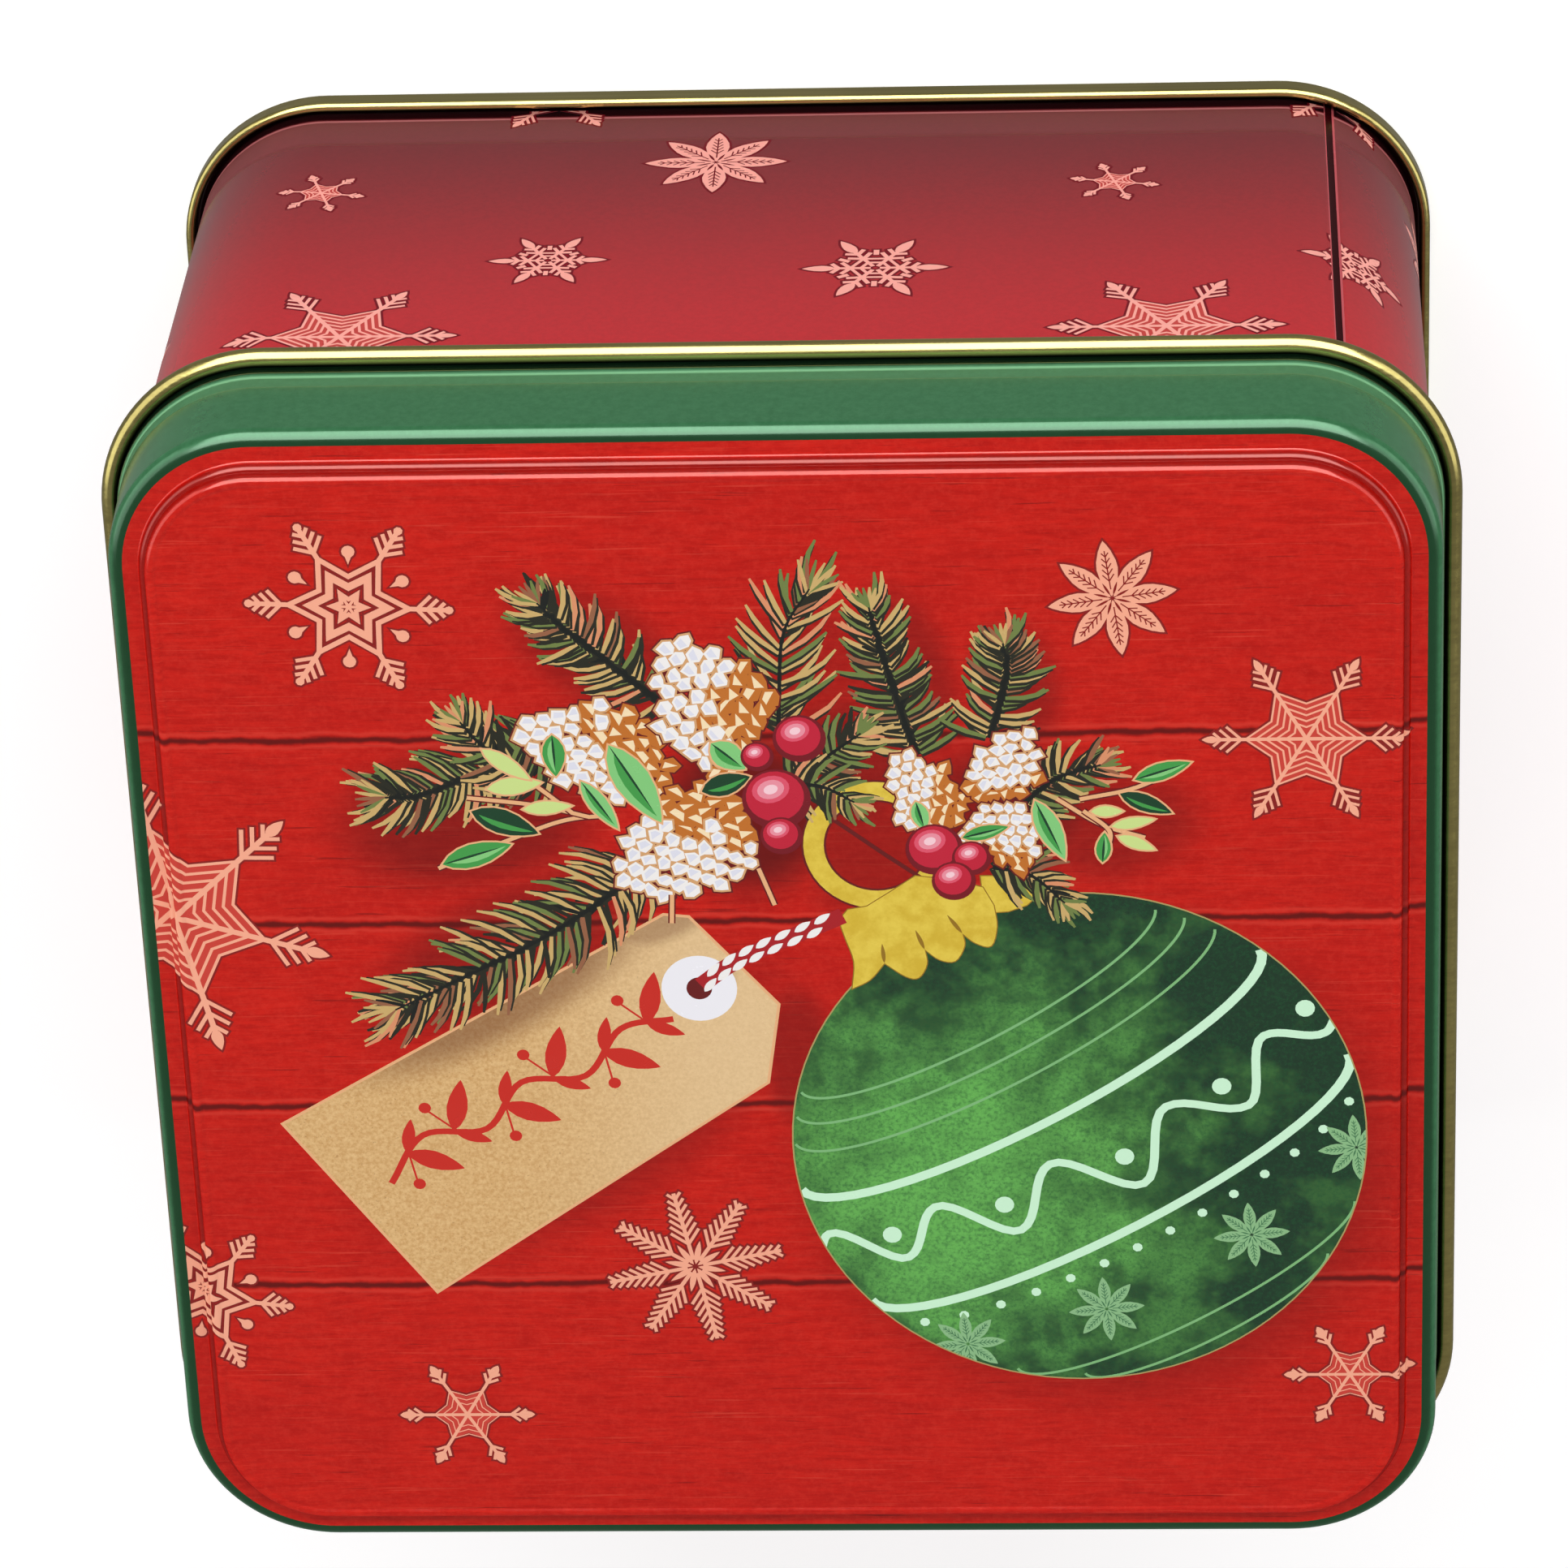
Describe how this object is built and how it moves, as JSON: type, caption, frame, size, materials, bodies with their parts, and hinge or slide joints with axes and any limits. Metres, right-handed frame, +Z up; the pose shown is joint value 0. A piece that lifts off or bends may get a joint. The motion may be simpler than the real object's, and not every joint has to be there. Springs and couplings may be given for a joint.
{
  "type": "cookie tin",
  "caption": "Square slip-lid metal cookie tin with rounded corners, a raised lid panel, a rolled gold rim and printed winter decoration.",
  "frame": {"origin": "centre of the footprint, on the surface that the tin stands on", "axes": "+Z up, out of the lid; +Y towards the top edge of the lid's picture, +X towards its right edge"},
  "size_m": [0.156, 0.156, 0.0926],
  "materials": {
    "body_print": "satin printed tinplate",
    "gold_lacquer": "satin gold lacquer on tinplate",
    "lid_print": "satin printed tinplate"
  },
  "bodies": {
    "can": {"body_wall": "body_print", "base_panel": "gold_lacquer"},
    "lid": {"lid": "lid_print"}
  },
  "joints": [
    {"name": "lid_lift", "type": "slide", "parent": "can", "child": "lid", "axis": [0, 0, 1], "range_m": [0, 0.08]}
  ]
}
